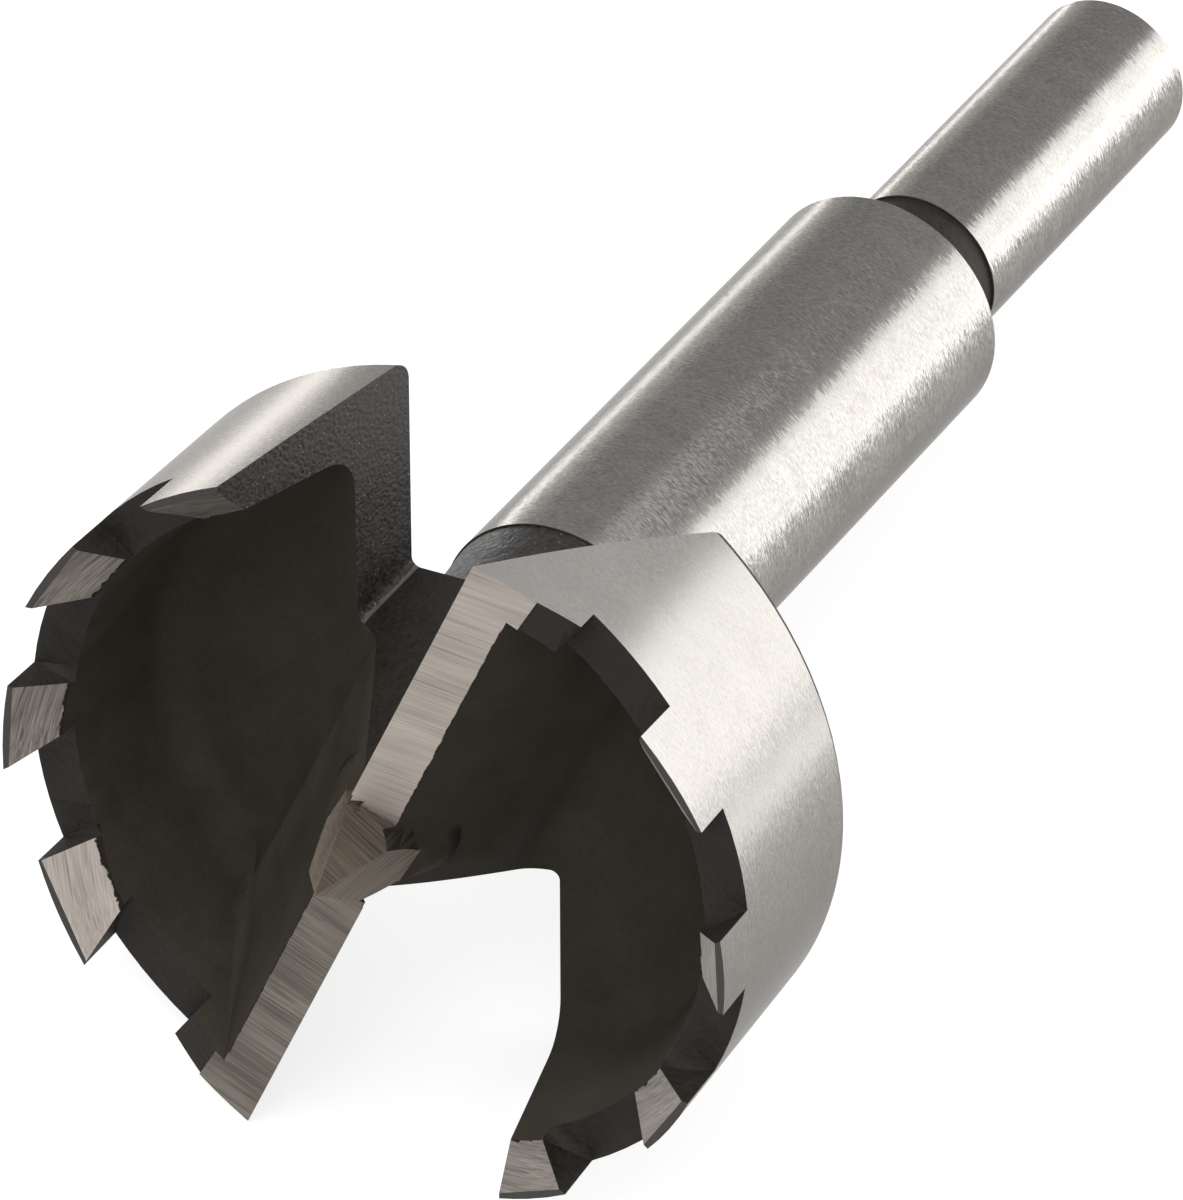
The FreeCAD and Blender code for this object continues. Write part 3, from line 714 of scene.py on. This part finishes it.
@dataclass
class Head:
    """The cutting head: a copy of the solid's faces from the collar to the point.

    Lengths are in mm on the bit's axes and angles in degrees. A facing is the cosine of the angle
    between a face's normal and a direction: 1 where the face looks straight along it. A gap is how
    far off a plane a face may lie and still be part of it.
    """

    stem_start: float = -22.4
    merge: float = 0.002
    crease: float = 30.0
    wall_inner: float = 21.9
    wall_taper: float = 2.1
    rim_inner: float = 19.5
    land_depth: float = 0.9
    tooth_depth: float = 3.4
    strip_half: float = 5.0
    point_reach: float = 3.1
    point_radius: float = 2.92
    point_height: float = 4.45
    end_face_turn: float = 19.2
    end_face_slant: float = 11.3
    end_face_offset: float = 8.5
    pocket_reach: float = 20.3
    pocket_depth: float = 11.3
    web_reach: float = 14.0
    web_turn: float = 21.0
    web_slant: float = 16.3
    fold_start: float = 0.59
    fold_end: float = 0.31
    collar_start: float = -15.6
    collar_reach: float = 8.6
    straight_facing: float = 0.97
    end_facing: float = 0.985
    wall_facing: float = 0.9
    upright_facing: float = 0.1
    bevel_facing: Span = (0.6, 0.8)
    flank_facing: float = 0.8
    point_facing: float = 0.75
    plane_gap: float = 0.08
    tip_gap: float = 0.03
    tip_facing: float = 0.2
    stem_gap: float = 0.01
    wall_margin: float = 0.6
    wall_lean: float = 0.3
    inward_facing: float = 0.5
    foot_margin: float = 0.6
    foot_facing: float = 0.4
    fold_margin: float = 0.4
    notch_depth: float = 1.7
    notch_half: float = 2.2
    notch_rise: float = 0.3
    notch_inner: float = 0.07
    notch_outer: float = 0.7

    def mesh(self) -> bpy.types.Mesh:
        """The solid's mesh, merged, without its stem, and closed where the stem begins."""
        shape = bmesh.new()
        shape.from_mesh(frame["nodes"][NODE].data)
        bmesh.ops.remove_doubles(shape, verts=shape.verts, dist=self.merge * MM)
        places = AXES.to_bit(np.array([face.calc_center_median() for face in shape.faces]))
        stem = [face for face, z in zip(shape.faces, places[:, 2]) if z < self.stem_start + self.stem_gap]
        bmesh.ops.delete(shape, geom=stem, context="FACES")
        rim = [edge for edge in shape.edges if edge.is_boundary]
        bmesh.ops.holes_fill(shape, edges=rim, sides=0)
        mesh = bpy.data.meshes.new("bit_head")
        shape.to_mesh(mesh)
        shape.free()
        return mesh

    def kinds(self, places: np.ndarray, normals: np.ndarray) -> np.ndarray:
        """The kind of surface that each face is part of, from its middle and its normal.

        The first rule that holds gives the kind, and a face that none holds for keeps the forged skin.

        Args:
            places: the faces' middles on the bit's axes, in mm.
            normals: their normals on the same axes.

        Returns:
            One Surface number for each face.
        """
        x, y, z = places.T
        nx, ny, nz = normals.T
        reach = np.hypot(x, y)
        outward = (nx * x + ny * y) / np.maximum(reach, 1e-6)
        turn, slant = math.radians(self.end_face_turn), math.radians(self.end_face_slant)
        ahead = nx * math.sin(turn) - ny * math.cos(turn)
        side = np.sign(ahead)
        on_end = np.abs(ahead) * math.cos(slant) + nz * math.sin(slant)
        past_end = side * (x * math.sin(turn) - y * math.cos(turn)) * math.cos(slant) + z * math.sin(slant)
        end_gap = np.abs(past_end + self.end_face_offset * math.cos(slant))
        web_way = math.radians(self.web_turn)
        web_lean = math.radians(self.web_slant)
        across = np.abs(nx * math.cos(web_way) + ny * math.sin(web_way))
        on_web = across * math.cos(web_lean) + nz * math.sin(web_lean)
        in_fold = (on_end ** 2 + on_web ** 2 > self.straight_facing) & (on_web > self.upright_facing)
        in_fold &= reach < self.web_reach
        in_fold &= (z < -self.pocket_depth + self.fold_margin) & (z > self.collar_start)
        from_tip = np.abs(nx * x + ny * y + nz * (z - self.point_height)) < self.tip_gap
        from_tip &= (reach < self.point_reach) & (nz > self.tip_facing)
        foot = (reach > self.point_radius) & (reach < self.point_reach + self.foot_margin)
        foot &= (z > -self.foot_margin) & (np.abs(nz) < self.foot_facing)
        upright = np.abs(nz) < self.upright_facing
        notch = (reach > self.point_radius - self.notch_inner) & (x * y > 0)
        notch &= (reach < self.point_reach + self.notch_outer) & (np.abs(y) < self.notch_half)
        notch &= (z > -self.notch_depth) & (z < self.notch_rise)
        on_wall = (outward > self.wall_facing) & (np.abs(nz) < self.wall_lean)
        on_wall &= reach > self.wall_inner - self.wall_margin
        on_top = (nz > self.straight_facing) & (z > -self.land_depth)
        on_bevel = (nz > self.bevel_facing[0]) & (nz < self.bevel_facing[1])
        on_bevel &= (outward < -self.inward_facing) & (reach > self.rim_inner) & (z > -self.tooth_depth)
        on_point = (from_tip & (np.abs(nx) > self.point_facing)) | foot | (notch & upright)
        in_pocket = (z > -self.pocket_depth) | (reach < self.web_reach)
        in_pocket &= (reach < self.pocket_reach) & (nz > 0)
        rules = [
            (Surface.WALL, on_wall),
            (Surface.STRIP, on_top & (np.abs(y) < self.strip_half)),
            (Surface.TOOTH_TOP, on_top & (reach > self.wall_inner)),
            (Surface.BEVEL, on_bevel),
            (Surface.POINT_FLANK, from_tip & (np.abs(ny) > self.flank_facing)),
            (Surface.POINT_FACE, on_point),
            (Surface.STRIP, notch),
            (Surface.END_FACE, (on_end > self.end_facing) & (end_gap < self.plane_gap)),
            (Surface.END_FACE, in_fold & (on_end > self.fold_start)),
            (Surface.FOLD, in_fold & (on_end > self.fold_end)),
            (Surface.COLLAR, (z < self.collar_start) & (reach < self.collar_reach)),
            (Surface.SKIN, (on_web > self.straight_facing) & (reach < self.web_reach)),
            (Surface.POCKET, in_pocket),
        ]
        masks = [mask for _, mask in rules]
        return np.select(masks, [kind.value for kind, _ in rules], Surface.SKIN.value)

    def smooth_normals(self, mesh: bpy.types.Mesh, kinds: np.ndarray) -> None:
        """Gives the wall the normals of a true cone, and a crease to each sharp or ground edge."""
        mesh.set_sharp_from_angle(angle=math.radians(self.crease))
        points = np.empty(len(mesh.vertices) * 3)
        mesh.vertices.foreach_get("co", points)
        places = AXES.to_bit(points.reshape(-1, 3))
        corner_point = np.empty(len(mesh.loops), int)
        mesh.loops.foreach_get("vertex_index", corner_point)
        sides = np.empty(len(mesh.polygons), int)
        mesh.polygons.foreach_get("loop_total", sides)
        corner_kind = np.repeat(kinds, sides)
        corner_edge = np.empty(len(mesh.loops), int)
        mesh.loops.foreach_get("edge_index", corner_edge)
        least, most = np.full(len(mesh.edges), len(Surface)), np.zeros(len(mesh.edges), int)
        np.minimum.at(least, corner_edge, corner_kind)
        np.maximum.at(most, corner_edge, corner_kind)
        sharp = np.empty(len(mesh.edges), bool)
        mesh.edges.foreach_get("use_edge_sharp", sharp)
        mesh.edges.foreach_set("use_edge_sharp", sharp | ((least != most) & (most > Surface.POCKET.value)))
        taper = math.radians(self.wall_taper)
        radial = places[:, :2] / np.maximum(np.hypot(*places[:, :2].T), 1e-6)[:, None]
        cone = np.column_stack([radial * math.cos(taper), np.full(len(places), -math.sin(taper))])
        true = AXES.turn_to_frame(cone)[corner_point]
        true[corner_kind != Surface.WALL.value] = 0.0
        mesh.normals_split_custom_set(true.tolist())

    def build(self, materials: list[bpy.types.Material]) -> bpy.types.Object:
        """Makes the head's piece and dresses each of its surfaces."""
        mesh = self.mesh()
        count = len(mesh.polygons)
        middles, normals = np.empty(count * 3), np.empty(count * 3)
        mesh.polygons.foreach_get("center", middles)
        mesh.polygons.foreach_get("normal", normals)
        places = AXES.to_bit(middles.reshape(-1, 3))
        kinds = self.kinds(places, AXES.turn_to_bit(normals.reshape(-1, 3)))
        mesh.polygons.foreach_set("use_smooth", np.ones(count, bool))
        piece = bpy.data.objects.new("bit_head", mesh)
        bpy.context.scene.collection.objects.link(piece)
        hand_in(piece, materials)
        mesh.polygons.foreach_set("material_index", kinds.astype(np.int32))
        self.smooth_normals(mesh, kinds)
        mesh.update()
        for kind in Surface:
            log.info("head: %d faces of %s", int((kinds == kind.value).sum()), kind.name)
        return piece


@dataclass
class Stem:
    """Neck, recess and shank, turned as one profile round the bit's axis, in mm on the bit's axes."""

    start: float = -22.4
    neck_radius: float = 7.5
    neck_end: float = -60.8
    neck_chamfer: float = 0.3
    band_radius: float = 4.8
    band_end: float = -65.2
    shank_radius: float = 5.0
    shank_end: float = -90.5
    shank_chamfer: float = 0.5
    corner: float = 0.07
    corner_steps: int = 5
    facets: int = 256

    def corners(self) -> np.ndarray:
        """The profile's corners as rows of radius and height, from the head to the shank's end."""
        return np.array(
            [
                (0.0, self.start),
                (self.neck_radius, self.start),
                (self.neck_radius, self.neck_end + self.neck_chamfer),
                (self.neck_radius - self.neck_chamfer, self.neck_end),
                (self.band_radius, self.neck_end),
                (self.band_radius, self.band_end),
                (self.shank_radius, self.band_end),
                (self.shank_radius, self.shank_end + self.shank_chamfer),
                (self.shank_radius - self.shank_chamfer, self.shank_end),
                (0.0, self.shank_end),
            ]
        )

    def profile(self) -> tuple[np.ndarray, np.ndarray]:
        """The profile with each corner rounded.

        A corner between two runs becomes an arc that leaves each run at the corner radius times the
        tangent of half the turn, and the outward normal turns evenly along it.

        Returns:
            The profile's points and their outward normals, as rows of radius and height.
        """
        corners = self.corners()
        runs = np.diff(corners, axis=0)
        ways = runs / np.linalg.norm(runs, axis=1)[:, None]
        outs = np.column_stack([-ways[:, 1], ways[:, 0]])
        points, normals = [corners[0]], [outs[0]]
        share = np.linspace(0.0, 1.0, self.corner_steps)
        for index in range(1, len(corners) - 1):
            before, after = outs[index - 1], outs[index]
            turn = math.atan2(before[0] * after[1] - before[1] * after[0], before @ after)
            reach = self.corner * math.tan(abs(turn) / 2)
            side = -math.copysign(1.0, turn)
            centre = corners[index] - ways[index - 1] * reach - before * self.corner * side
            angle = math.atan2(before[1], before[0]) + share * turn
            out = np.column_stack([np.cos(angle), np.sin(angle)])
            points.extend(centre + out * self.corner * side)
            normals.extend(out)
        points.append(corners[-1])
        normals.append(outs[-1])
        return np.array(points), np.array(normals)

    def build(self, materials: list[bpy.types.Material]) -> bpy.types.Object:
        """Spins the profile: each ring is the profile turned by one facet, and the two ends are poles."""
        points, normals = self.profile()
        angle = np.linspace(0.0, 2 * math.pi, self.facets, endpoint=False)
        spin = np.stack([np.cos(angle), np.sin(angle)], axis=1)
        rings, rows = points[1:-1], len(points) - 2
        flat = (spin[None, :, :] * rings[:, None, :1]).reshape(-1, 2)
        grid = np.column_stack([flat, np.repeat(rings[:, 1], self.facets)])
        poles = np.array([[0.0, 0.0, points[0, 1]], [0.0, 0.0, points[-1, 1]]])
        turned = (spin[None, :, :] * normals[1:-1, None, :1]).reshape(-1, 2)
        ways = np.column_stack([turned, np.repeat(normals[1:-1, 1], self.facets)])
        ways = np.vstack([ways, [[0.0, 0.0, 1.0], [0.0, 0.0, -1.0]]])
        here = np.arange(self.facets)
        there = (here + 1) % self.facets
        row = np.arange(rows - 1)[:, None] * self.facets
        below = row + self.facets
        quads = np.stack([row + here, below + here, below + there, row + there], axis=2)
        first, last = rows * self.facets, rows * self.facets + 1
        near = np.column_stack([np.full(self.facets, first), here, there])
        end = (rows - 1) * self.facets
        far = np.column_stack([np.full(self.facets, last), end + there, end + here])
        faces = quads.reshape(-1, 4).tolist() + near.tolist() + far.tolist()
        mesh = bpy.data.meshes.new("bit_stem")
        mesh.from_pydata(AXES.to_frame(np.vstack([grid, poles])).tolist(), [], faces)
        mesh.polygons.foreach_set("use_smooth", np.ones(len(faces), bool))
        piece = bpy.data.objects.new("bit_stem", mesh)
        bpy.context.scene.collection.objects.link(piece)
        hand_in(piece, materials)
        caps = np.full(2 * self.facets, Surface.STEM_END.value)
        kinds = np.concatenate([np.repeat(self.ring_kinds(rings), self.facets), caps])
        mesh.polygons.foreach_set("material_index", kinds.astype(np.int32))
        mesh.update()
        mesh.normals_split_custom_set_from_vertices(AXES.turn_to_frame(ways).tolist())
        log.info("stem: %d faces", len(faces))
        return piece

    def ring_kinds(self, rings: np.ndarray) -> np.ndarray:
        """The kind of surface of each ring of faces: the recess keeps its skin, and the rest is ground."""
        middle = (rings[1:] + rings[:-1]) / 2
        recess = (middle[:, 1] < self.neck_end) & (middle[:, 1] > self.band_end - self.corner)
        recess &= middle[:, 0] < self.shank_radius
        recess |= middle[:, 1] > self.start - self.corner
        flat = np.abs(np.diff(rings[:, 1])) < 1e-6
        return np.select([recess, flat], [Surface.SKIN.value, Surface.STEM_END.value], Surface.STEM.value)


@dataclass
class Lamp:
    """One soft lamp: a rectangle that faces its aim, in metres, rolled in its own plane by some degrees."""

    name: str
    place: Point
    aim: Point
    width: float
    height: float
    watts: float
    roll: float = 0.0

    def build(self) -> bpy.types.Object:
        """Adds the lamp, unseen by the camera itself."""
        light = bpy.data.lights.new(self.name, "AREA")
        light.shape = "RECTANGLE"
        light.size, light.size_y = self.width, self.height
        light.energy = self.watts
        lamp = bpy.data.objects.new(self.name, light)
        lamp.location = self.place
        way = Vector(self.aim) - Vector(self.place)
        level = way.to_track_quat("-Z", "Y").to_matrix()
        lamp.rotation_euler = (level @ Matrix.Rotation(math.radians(self.roll), 3, "Z")).to_euler()
        lamp.visible_camera = False
        bpy.context.scene.collection.objects.link(lamp)
        return lamp


@dataclass
class Studio:
    """A pale floor under a soft even light, with soft boxes and narrow strip lamps round the bit."""

    floor_reach: float = 6.0
    floor_sink: float = 0.00004
    floor_colour: float = 0.34
    floor_glow: float = 0.76
    dome: float = 0.58
    lamps: list[Lamp] = field(
        default_factory=lambda: [
            Lamp("overhead_softbox", (-0.25, -0.35, 1.1), (0.0, 0.0, 0.0), 1.0, 1.0, 11.0),
            Lamp(
                "right_softbox",
                (0.1414, 0.1683, 0.0441), (-0.0026, 0.0023, 0.0441),
                0.28, 0.17, 0.43, -30.0,
            ),
            Lamp("head_softbox", (0.032, 0.062, 0.098), (0.01, -0.038, 0.036), 0.11, 0.036, 0.0095),
            Lamp("front_softbox", (0.294, -0.349, 0.254), (-0.016, -0.044, 0.009), 0.2, 0.2, 0.38),
            Lamp("right_strip", (0.055, 0.045, 0.006), (0.0, -0.01, 0.02), 0.12, 0.012, 0.011),
            Lamp(
                "left_head_strip",
                (-0.080, 0.024, 0.0080), (-0.0114, -0.0487, 0.0080),
                0.036, 0.0132, 0.0082,
            ),
            Lamp(
                "left_neck_strip",
                (-0.028, 0.0235, 0.0088), (0.0, 0.0235, 0.0368),
                0.040, 0.003, 0.0027, 11.0,
            ),
            Lamp(
                "left_shank_strip",
                (-0.015, 0.046, 0.0040), (0.0, 0.046, 0.0190),
                0.027, 0.0016, 0.0011, 11.0,
            ),
        ]
    )

    def floor_material(self) -> bpy.types.Material:
        """White as the camera and reflections see it, and it still takes the bit's shadow."""
        graph = Graph("pale_floor")
        path = graph.node("LightPath")
        seen = Value(graph, path.outputs["Is Camera Ray"])
        seen = seen + Value(graph, path.outputs["Is Glossy Ray"])
        seen = (seen + Value(graph, path.outputs["Is Transmission Ray"])).clamp()
        board = graph.node("BsdfDiffuse", None, {"Color": (self.floor_colour,) * 3})
        glow = graph.node("Emission", None, {"Strength": seen * self.floor_glow})
        both = graph.node("AddShader", None, {0: board.outputs[0], 1: glow.outputs[0]})
        graph.node("OutputMaterial", None, {"Surface": both.outputs[0]})
        return graph.material

    def build_floor(self) -> bpy.types.Object:
        """Adds the floor: one square, centred under the bit."""
        reach, level = self.floor_reach, -self.floor_sink
        corners = [(x * reach, y * reach, level) for x, y in ((-1, -1), (1, -1), (1, 1), (-1, 1))]
        mesh = bpy.data.meshes.new("floor")
        mesh.from_pydata(corners, [], [(0, 1, 2, 3)])
        floor = bpy.data.objects.new("floor", mesh)
        floor.data.materials.append(self.floor_material())
        bpy.context.scene.collection.objects.link(floor)
        return floor

    def build(self) -> None:
        """Adds the floor, the dome of even light and the lamps."""
        self.build_floor()
        world = bpy.data.worlds.new("studio")
        bpy.context.scene.world = world
        world.use_nodes = True
        world.node_tree.nodes["Background"].inputs["Color"].default_value = (self.dome,) * 3 + (1.0,)
        for lamp in self.lamps:
            lamp.build()
        bpy.context.scene.view_settings.view_transform = "Standard"
        log.info("studio: floor, dome and %d lamps", len(self.lamps))


@dataclass
class BenchCamera:
    """The photograph's camera, in metres: a long lens that looks down at the point from the right."""

    place: Point = (0.154864, -0.336437, 0.442064)
    aim: Point = (0.001431, -0.020246, 0.022)
    lean: float = 6.345
    picture: tuple[int, int] = (1183, 1200)
    focal_pixels: float = 9931.45
    sensor: float = 36.0

    def build(self) -> bpy.types.Object:
        """Adds the camera; its lens is the focal length in pixels, carried over to the sensor."""
        data = bpy.data.cameras.new("bench_camera")
        data.sensor_fit = "VERTICAL"
        data.sensor_height = self.sensor
        data.lens = self.focal_pixels * self.sensor / self.picture[1]
        data.clip_start, data.clip_end = 0.01, 20.0
        camera = bpy.data.objects.new("bench_camera", data)
        way = Vector(self.aim) - Vector(self.place)
        level = way.to_track_quat("-Z", "Y").to_matrix()
        turned = level @ Matrix.Rotation(math.radians(self.lean), 3, "Z")
        camera.matrix_world = Matrix.Translation(self.place) @ turned.to_4x4()
        bpy.context.scene.collection.objects.link(camera)
        bpy.context.scene.camera = camera
        log.info("camera: lens %.1f mm", data.lens)
        return camera


def main() -> None:
    """Builds the camera, the studio and the bit, and reports each piece."""
    logging.basicConfig(level=logging.INFO, format="%(name)s %(message)s")
    BenchCamera().build()
    Studio().build()
    materials = Palette().materials()
    for part in (Head(), Stem()):
        piece = part.build(materials)
        log.info("%s: %d faces", piece.name, len(piece.data.polygons))


if __name__ == "__main__":
    main()
